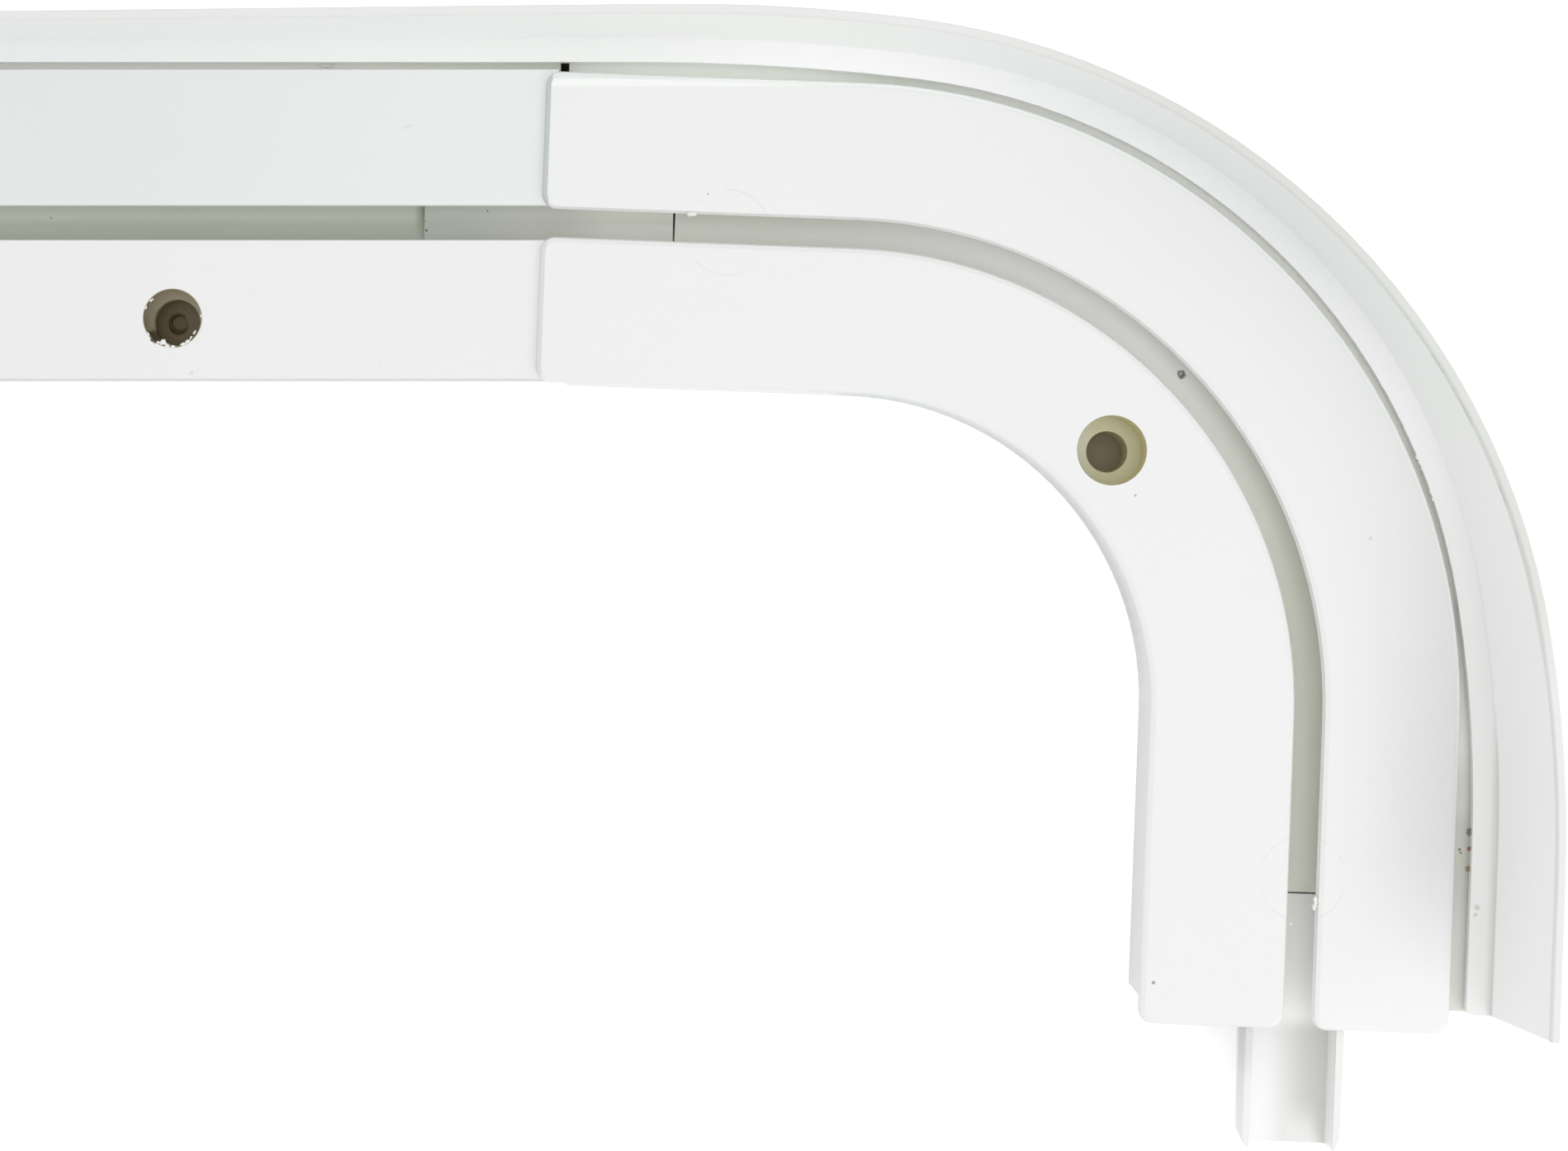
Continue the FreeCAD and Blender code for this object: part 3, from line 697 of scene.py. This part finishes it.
def corner_ledge(finish, colour, radius):
    legs = finish.math("MAXIMUM", finish.step(finish.y, *LEDGE_OF_JOINT_LEG),
                       finish.step(finish.x, *LEDGE_OF_FREE_LEG))
    front = finish.math("MAXIMUM", finish.step(radius, *LEDGE_OF_BEND), legs)
    ledge = finish.product(front, finish.step(finish.z, *LEDGE_LEVEL))
    # Painted light on the ledge, with painted shade along the free leg that eases towards its tip
    return finish.mix(ledge, colour, finish.ramps(CORNER_LEDGE_LIGHT, CORNER_LEDGE_LIGHT_AND_SHADE_STEPS))


def tip_ends(finish, colour):
    reach = finish.math("MULTIPLY_ADD", finish.y, -math.tan(CORNER_SKEW), finish.x)
    ends = finish.product(finish.step(reach, *TIP_END_SPAN), finish.step(finish.z, *TIP_END_LEVEL))
    # Painted shade on the end faces
    return finish.mix(ends, colour, finish.mix(front_of_slot(finish), TIP_END_SHADE_BACK, TIP_END_SHADE_FRONT))


def screw_recess(finish, colour):
    """Cream recess and bore of the screw hole, with painted shade darker towards the right."""
    recess = finish.product(finish.disc(SCREW_CENTRE, *RECESS_DISC),
                            finish.step(finish.z, *RECESS_LEVEL))
    floor = finish.ramps(RECESS_FLOOR_LEFT, RECESS_FLOOR_SHADE_STEPS)
    wall = finish.ramps(RECESS_WALL_LEFT, RECESS_WALL_SHADE_STEPS)
    inside = finish.mix(finish.step(finish.facing_up, *FLOOR_FACING), wall, floor)
    colour = finish.mix(recess, colour, inside)
    hole = finish.product(finish.disc(SCREW_CENTRE, *SCREW_HOLE_DISC),
                          finish.step(finish.z, *SCREW_HOLE_LEVEL))
    return finish.mix(hole, colour, SCREW_HOLE_CREAM)


def joiner_gap_shadows(finish, colour):
    joint_gap = finish.product(finish.between(finish.x, *JOINT_GAP_BAND),
                               finish.step(finish.y, *JOINT_GAP_ACROSS))
    free_gap = finish.product(finish.between(finish.y, *FREE_GAP_BAND),
                              finish.step(finish.x, *FREE_GAP_ACROSS))
    gaps = finish.product(finish.math("MAXIMUM", joint_gap, free_gap),
                          finish.step(finish.z, *GAP_LEVEL))
    # Painted shadow: black lines in the gaps
    return finish.mix(gaps, colour, GAP_SHADOW_BLACK)


def witness_circles(finish, colour):
    wear = finish.step(finish.noise(WITNESS_GRAIN, WITNESS_DETAIL, seed=WITNESS_SEED), *WITNESS_WEAR)
    for pixel in WITNESS_PIXELS:
        from_centre = finish.distance(photo_point(pixel, CORNER_TOP))
        off_line = finish.math("ABSOLUTE", finish.math("SUBTRACT", from_centre, WITNESS_RADIUS))
        line = finish.product(finish.step(off_line, *WITNESS_LINE),
                              finish.step(finish.z, *WITNESS_LEVEL), wear, WITNESS_COVER)
        colour = finish.mix(line, colour, WITNESS_GREY)
    return colour


def corner_finish():
    finish = Finish("moulded_pvc")
    angle = bend_angle(finish)
    radius = finish.distance(BEND_CENTRE)
    off_path = finish.distance_past(BEND_CENTRE)
    colour = corner_flats(finish, angle, off_path)
    colour = corner_channel(finish, colour, angle, off_path)
    colour = corner_side(finish, colour, radius)
    colour = corner_ledge(finish, colour, radius)
    colour = tip_ends(finish, colour)
    colour = mottle(finish, colour, MOTTLE, CORNER_SEED)
    colour = screw_recess(finish, colour)
    colour = joiner_gap_shadows(finish, colour)
    colour = witness_circles(finish, colour)
    colour = spots(finish, colour, CORNER_SPOTS)
    colour = scratches(finish, colour, CORNER_SCRATCHES)
    return moulded_glaze(finish, colour, CORNER_SEED)


# Joiner between the track and the corner
TRACK_JOINER_SEED = 21.0
# Painted shade on the joiner, darkest in the track and lighter towards the corner, and painted light
# along its front side
TRACK_JOINER_SHADE_LEFT = (209, 214, 205)
TRACK_JOINER_SHADE_STEPS = [
    ("x", (-106.0, -93.0), (220, 221, 213)),
    ("x", (-93.0, -80.0), (243, 244, 236)),
]
TRACK_JOINER_LIGHT_SPAN = (SLOT_LINE + 0.6, SLOT_LINE + 2.6)
TRACK_JOINER_LIGHT_GAIN = 1.18
JOINER_SPOTS = [
    Spot((590.6, 255.4), SEAT_TOP, 0.16, (110, 110, 104), 0.9),
    Spot((516.6, 279.0), SEAT_TOP, 0.22, (104, 104, 98), 0.9),
    Spot((516.0, 268.0), SEAT_TOP, 0.14, GREY, 0.6),
    Spot((545.0, 275.0), SEAT_TOP, 0.18, (186, 190, 182), 0.5),
]


def track_joiner_finish():
    finish = Finish("joiner_pvc")
    colour = finish.ramps(TRACK_JOINER_SHADE_LEFT, TRACK_JOINER_SHADE_STEPS)
    front = finish.step(finish.y, *TRACK_JOINER_LIGHT_SPAN)
    colour = finish.mix(front, colour, finish.shade(colour, TRACK_JOINER_LIGHT_GAIN))
    colour = mottle(finish, colour, MOTTLE, TRACK_JOINER_SEED)
    colour = spots(finish, colour, JOINER_SPOTS)
    return moulded_glaze(finish, colour, TRACK_JOINER_SEED)


# Joiner in the free leg: its web, inside the corner and standing out of it, with painted shade towards
# the right flange and painted light at its far end
END_JOINER_SEED = 41.0
END_WEB_LEVEL = (SEAT_TOP + 0.8, SEAT_TOP + 0.2)
END_WEB_INSIDE = (255, 255, 252)
END_WEB_OUTSIDE = (-92.0, -96.0)
END_WEB_LEFT = (251, 251, 251)
END_WEB_SHADE_STEPS = [("x", (25.0, 33.6), (214, 214, 212))]
END_LIGHT_ALONG = (-106.0, -112.0)
END_LIGHT_ACROSS = (29.0, 34.6, 1.6)
END_LIGHT_WHITE = (237, 237, 236)

# Joiner in the free leg: its flanges, with painted shade next to the corner and painted light on the
# right
END_FLANGE_WHITE = (241, 241, 240)
END_FLANGE_ALONG = (-104.0, -97.0)
END_FLANGE_ACROSS = (25.2, 24.2)
END_FLANGE_SHADE = (224, 224, 223)
END_RIGHT_ACROSS = (34.6, 35.4)
END_RIGHT_LEVEL = (12.9, 12.4)
END_RIGHT_LIGHT = (255, 255, 254)


def end_joiner_web(finish):
    outside = finish.step(finish.y, *END_WEB_OUTSIDE)
    across = finish.ramps(END_WEB_LEFT, END_WEB_SHADE_STEPS)
    # Painted light at the web's far end, where the shade of the right flange stops
    end = finish.product(finish.step(finish.y, *END_LIGHT_ALONG),
                         finish.between(finish.x, *END_LIGHT_ACROSS))
    across = finish.mix(end, across, END_LIGHT_WHITE)
    return finish.mix(outside, END_WEB_INSIDE, across)


def end_joiner_flanges(finish):
    mouth_shade = finish.product(finish.step(finish.y, *END_FLANGE_ALONG),
                           finish.step(finish.x, *END_FLANGE_ACROSS))
    # Painted shade on the left flange next to the corner
    colour = finish.mix(mouth_shade, END_FLANGE_WHITE, END_FLANGE_SHADE)
    right = finish.product(finish.step(finish.x, *END_RIGHT_ACROSS),
                           finish.step(finish.z, *END_RIGHT_LEVEL))
    # Painted light on the right flange
    return finish.mix(right, colour, END_RIGHT_LIGHT)


def end_joiner_finish():
    finish = Finish("joiner_pvc_end")
    web = finish.step(finish.z, *END_WEB_LEVEL)
    colour = finish.mix(web, end_joiner_flanges(finish), end_joiner_web(finish))
    colour = mottle(finish, colour, MOTTLE, END_JOINER_SEED)
    return moulded_glaze(finish, colour, END_JOINER_SEED)


# Fascia: lip and root, with painted light on the lip towards the bend, painted shade round the bend and
# painted light on the root
FASCIA_SEED = 31.0
FASCIA_GRAIN = 0.8
FASCIA_LEFT = (241, 243, 242)
FASCIA_LIGHT_STEPS = [
    ("x", (-180.0, -100.0), (245, 246, 245)),
    ("x", (-90.0, -40.0), (253, 253, 253)),
    ("y", (20.0, -40.0), (240, 240, 239)),
]
SHADE_FROM = (-4.0, 32.0)
SHADE_TO = (68.0, 40.0)
FASCIA_SHADE = (242, 243, 243)
ROOT_LEVEL = (14.0, 13.6)
ROOT_LIGHT = (254, 255, 252)

# Fascia: wall with painted light and painted shade round the bend, and beaded edge with painted shade
# round the bend
WALL_LEVEL = (TRACK_TOP, TRACK_TOP + 0.6)
WALL_LIGHT = (250, 252, 250)
WALL_SHADE = (244, 246, 245)
WALL_FREE_LIGHT_SPAN = (10.0, -14.0)
WALL_FREE_LIGHT = (255, 255, 255)
BEAD_LEVEL = (34.0, 34.6)
BEAD_WHITE = (235, 235, 234)
BEAD_SHADE_BAND = (20.0, 65.0, 14.0)
BEAD_SHADE = (222, 223, 218)

# Fascia: painted shade along the fold line of the lip, worn stretch and dirty seam of the edge
FOLD_PIXELS = [(1813.0, 960.0), (1806.0, 1225.0)]
FOLD_WIDTH = (1.3, 0.1)
FOLD_ALONG = (BEND_CENTRE[1] + 4, BEND_CENTRE[1] - 14)
FOLD_LEVEL = (14.0, 15.4, 0.2)
FOLD_COVER = 0.8
FOLD_SHADE = (222, 222, 218)
WORN_BAND = (50.0, 84.0, 6.0)
WORN_LEVEL = (33.0, 34.4)
WORN_GREY = (224, 226, 221)
SEAM_BAND = (54.0, 76.0, 4.0)
SEAM_LEVEL = (33.6, 34.5, 0.3)
DIRT_GRAIN = 2.6
DIRT_DETAIL = 3.0
DIRT_SEED = 35.0
DIRT_SPAN = (0.42, 0.62)
DIRT_COVER = 0.6
DIRT_GREY = (190, 188, 176)

# Fascia: marks, where dirt lies against the foot of its lip a little above the ledge
LIP_FOOT = LEDGE_TOP + 0.9
FASCIA_SPOTS = [
    Spot((1781.0, 1006.0), LIP_FOOT, 0.6, BROWN, 0.7),
    Spot((1781.0, 1027.0), LIP_FOOT, 0.4, RUST, 0.8),
    Spot((1781.0, 1052.0), LIP_FOOT, 0.5, OCHRE, 0.8),
    Spot((1789.0, 1099.0), TRACK_TOP, 0.5, (196, 196, 194), 0.6),
    Spot((1787.0, 1108.0), TRACK_TOP, 0.3, (190, 190, 188), 0.6),
    Spot((1812.0, 1205.0), TRACK_TOP, 0.45, (180, 180, 178), 0.7),
]


def fascia_forms(finish, angle):
    """Colours of the lip, the root, the wall and the beaded edge, with painted light and painted shade.
    """
    bend_shade = finish.product(finish.step(angle, *SHADE_FROM), finish.step(angle, *SHADE_TO))
    colour = finish.mix(bend_shade, finish.ramps(FASCIA_LEFT, FASCIA_LIGHT_STEPS), FASCIA_SHADE)
    colour = finish.mix(finish.step(finish.z, *ROOT_LEVEL), colour, ROOT_LIGHT)
    wall = finish.mix(bend_shade, WALL_LIGHT, WALL_SHADE)
    wall = finish.mix(finish.step(finish.y, *WALL_FREE_LIGHT_SPAN), wall, WALL_FREE_LIGHT)
    colour = finish.mix(finish.step(finish.z, *WALL_LEVEL), colour, wall)
    bead = finish.mix(finish.between(angle, *BEAD_SHADE_BAND), BEAD_WHITE, BEAD_SHADE)
    return finish.mix(finish.step(finish.z, *BEAD_LEVEL), colour, bead)


def lip_fold(finish, colour):
    start, end = [photo_point(pixel, TRACK_TOP) for pixel in FOLD_PIXELS]
    fold = finish.product(finish.step(finish.line_distance(start, end), *FOLD_WIDTH),
                          finish.step(finish.y, *FOLD_ALONG),
                          finish.between(finish.z, *FOLD_LEVEL), FOLD_COVER)
    # Painted shade in the crease of the fold
    return finish.mix(fold, colour, FOLD_SHADE)


def worn_edge(finish, colour, angle):
    """Worn stretch below the beaded edge, and dirt in patches along its seam."""
    worn = finish.product(finish.between(angle, *WORN_BAND), finish.step(finish.z, *WORN_LEVEL))
    colour = finish.mix(worn, colour, WORN_GREY)
    seam = finish.product(finish.between(angle, *SEAM_BAND), finish.between(finish.z, *SEAM_LEVEL))
    dirt = finish.step(finish.noise(DIRT_GRAIN, DIRT_DETAIL, seed=DIRT_SEED), *DIRT_SPAN)
    return finish.mix(finish.product(seam, dirt, DIRT_COVER), colour, DIRT_GREY)


def fascia_finish():
    finish = Finish("fascia_pvc")
    angle = bend_angle(finish)
    colour = fascia_forms(finish, angle)
    colour = mottle(finish, colour, MOTTLE, FASCIA_SEED)
    colour = lip_fold(finish, colour)
    colour = worn_edge(finish, colour, angle)
    colour = spots(finish, colour, FASCIA_SPOTS)
    lines = finish.noise(FASCIA_GRAIN, seed=FASCIA_SEED + SKIN_SEED_STEP)
    return glaze(finish, colour, lines, SKIN_DEPTH)


# Torn edges and moulding nubs, built as small uneven lumps on the plastic
TORN_SEED = 51.0
TORN_WHITE = (246, 246, 243)
TORN_MOTTLE = 0.03
TORN_GRAIN = 0.3
TORN_DEPTH = 0.02
LUMP_SUBDIVISIONS = 2
LUMP_ROUGHNESS = 0.9
LUMP_GRAINS = 4
NUB_LEVEL = CORNER_TOP - 0.5
CHIP_LEVEL = TRACK_TOP - 0.2
DRILL_BURRS = [
    Lump((197.2, 414.2), TRACK_TOP, (1.15, 0.85, 0.5), 30),
    Lump((202.5, 418.6), TRACK_TOP, (0.9, 0.6, 0.4), -20),
    Lump((209.4, 419.8), TRACK_TOP, (0.8, 0.4, 0.3), 0),
    Lump((221.5, 417.0), TRACK_TOP, (1.0, 0.45, 0.4), 25),
    Lump((227.5, 413.4), TRACK_TOP, (1.2, 0.5, 0.5), 35),
    Lump((235.6, 402.6), TRACK_TOP, (0.7, 0.35, 0.5), 60),
    Lump((231.5, 408.5), TRACK_TOP, (0.6, 0.3, 0.3), 45),
    Lump((179.4, 404.4), TRACK_TOP, (0.7, 0.35, 0.3), -60),
    Lump((191.5, 414.4), TRACK_TOP, (0.5, 0.4, 0.3), -30),
    Lump((177.0, 372.4), TRACK_TOP, (0.55, 0.3, 0.25), 65),
    Lump((183.4, 363.4), TRACK_TOP, (0.8, 0.3, 0.25), 45),
    Lump((243.4, 383.0), TRACK_TOP, (0.5, 0.25, 0.2), 90),
]
SLOT_NUBS = [
    Lump((838.5, 258.6), NUB_LEVEL, (1.8, 0.75, 0.8), 0),
    Lump((835.5, 260.4), NUB_LEVEL, (0.7, 0.5, 0.5), 20),
    Lump((838.5, 296.0), NUB_LEVEL, (1.3, 0.35, 0.7), 0),
    Lump((1592.6, 1091.0), NUB_LEVEL, (0.75, 1.5, 0.8), 0),
    Lump((1592.2, 1098.0), NUB_LEVEL, (0.85, 1.3, 0.8), 0),
    Lump((1562.6, 1118.4), NUB_LEVEL, (0.7, 0.35, 0.5), -40),
]
LIP_CHIPS = [
    Lump((1716.2, 553.5), CHIP_LEVEL, (0.5, 1.1, 0.4), 24),
    Lump((1719.8, 561.0), CHIP_LEVEL, (0.4, 0.8, 0.35), 24),
    Lump((1722.9, 567.5), CHIP_LEVEL, (0.55, 0.9, 0.45), 24),
    Lump((1727.0, 577.0), CHIP_LEVEL, (0.5, 1.3, 0.4), 24),
    Lump((1730.6, 586.5), CHIP_LEVEL, (0.45, 1.0, 0.4), 22),
    Lump((1733.6, 596.0), CHIP_LEVEL, (0.6, 1.1, 0.45), 20),
    Lump((1736.0, 604.0), CHIP_LEVEL, (0.65, 0.9, 0.45), 18),
    Lump((394.0, 79.6), LEDGE_TOP + 1.2, (1.5, 0.3, 0.5), 0),
]


def torn_finish():
    finish = Finish("torn_pvc")
    colour = mottle(finish, TORN_WHITE, TORN_MOTTLE, TORN_SEED)
    grain = finish.noise(TORN_GRAIN, seed=TORN_SEED + SKIN_SEED_STEP)
    return glaze(finish, colour, grain, TORN_DEPTH)


def add_piece(name, mesh, material):
    mesh.materials.append(material)
    mesh.shade_smooth()
    piece = bpy.data.objects.new(name, mesh)
    bpy.context.scene.collection.objects.link(piece)
    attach(piece, "root")


def add_lump(shape, lump, seed):
    """One uneven lump, turned in plan, with its middle at its pixel and level."""
    made = bmesh.ops.create_icosphere(shape, subdivisions=LUMP_SUBDIVISIONS, radius=0.5)
    centre = Vector((*photo_point(lump.pixel, lump.level), lump.level))
    spin = Matrix.Rotation(math.radians(lump.turn), 3, "Z")
    for vertex in made["verts"]:
        rough = 1 + LUMP_ROUGHNESS * noise.noise(vertex.co * LUMP_GRAINS + Vector((seed, 0, 0)))
        part = Vector([share * length for share, length in zip(vertex.co, lump.size)]) * rough
        vertex.co = (spin @ part + centre) * MM


def add_lumps(name, lumps):
    shape = bmesh.new()
    for index, lump in enumerate(lumps):
        add_lump(shape, lump, index)
    mesh = bpy.data.meshes.new(name)
    shape.to_mesh(mesh)
    shape.free()
    add_piece(name, mesh, torn_finish())


# Curl of swarf left round the pilot hole in the drilled track
CURL_SEED = 61.0
CURL_BROWN = (146, 128, 94)
CURL_MOTTLE = 0.3
CURL_PIXEL = (216.6, 391.5)
CURL_LEVEL = 1.45
CURL_RADIUS = 1.42
CURL_WIDTH = 0.5
CURL_HEIGHT = 0.3
CURL_LEAST_HEIGHT = 0.02
CURL_FROM = 40
CURL_TO = 335
CURL_STEPS = 40
CURL_TAPER = 0.4
CURL_RIPPLE = 0.25
CURL_RIPPLES = 9
CURL_SECTION = [(-0.5, 0.0), (0.0, 1.0), (0.5, 0.0)]


def curl_finish():
    finish = Finish("drill_swarf")
    colour = mottle(finish, CURL_BROWN, CURL_MOTTLE, CURL_SEED)
    grain = finish.noise(TORN_GRAIN, seed=CURL_SEED + SKIN_SEED_STEP)
    return glaze(finish, colour, grain, TORN_DEPTH)


def curl_row(centre, share):
    """Section of the curl at a share of its length, where it swells, thins and ripples."""
    angle = math.radians(CURL_FROM + (CURL_TO - CURL_FROM) * share)
    swell = math.sin(math.pi * share) ** CURL_TAPER * (1 + CURL_RIPPLE * math.sin(CURL_RIPPLES * angle))
    row = []
    for across, up in CURL_SECTION:
        radius = CURL_RADIUS + across * CURL_WIDTH * swell
        rise = CURL_HEIGHT * (up * swell + CURL_LEAST_HEIGHT)
        row.append((centre + Vector((radius * math.cos(angle), radius * math.sin(angle), rise))) * MM)
    return row


def add_curl():
    """Open ring with a ridge along its middle and closed ends."""
    centre = Vector((*photo_point(CURL_PIXEL, CURL_LEVEL), CURL_LEVEL))
    row = len(CURL_SECTION)
    vertices = []
    for step in range(CURL_STEPS + 1):
        vertices += curl_row(centre, step / CURL_STEPS)
    faces = []
    for first in range(0, CURL_STEPS * row, row):
        for side in range(row):
            after = (side + 1) % row
            faces.append((first + side, first + after, first + row + after, first + row + side))
    start_face = tuple(range(row))
    faces.append(start_face)
    faces.append(tuple(CURL_STEPS * row + side for side in reversed(start_face)))
    mesh = bpy.data.meshes.new("drill_swarf")
    mesh.from_pydata(vertices, [], faces)
    add_piece("drill_swarf", mesh, curl_finish())


def dress_nodes():
    finishes = {
        "straight_track": track_finish(),
        "moulded_corner": corner_finish(),
        "track_joiner": track_joiner_finish(),
        "end_joiner": end_joiner_finish(),
        "fascia_strip": fascia_finish(),
    }
    for name, material in finishes.items():
        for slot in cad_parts[name].material_slots:
            slot.material = material


bpy.context.scene.view_settings.view_transform = "Standard"
add_camera()
add_world()
add_area_light("key", KEY)
add_area_light("top", TOP)
add_floor()
dress_nodes()
add_lumps("drill_burrs", DRILL_BURRS)
add_lumps("slot_nubs", SLOT_NUBS)
add_lumps("lip_chips", LIP_CHIPS)
add_curl()
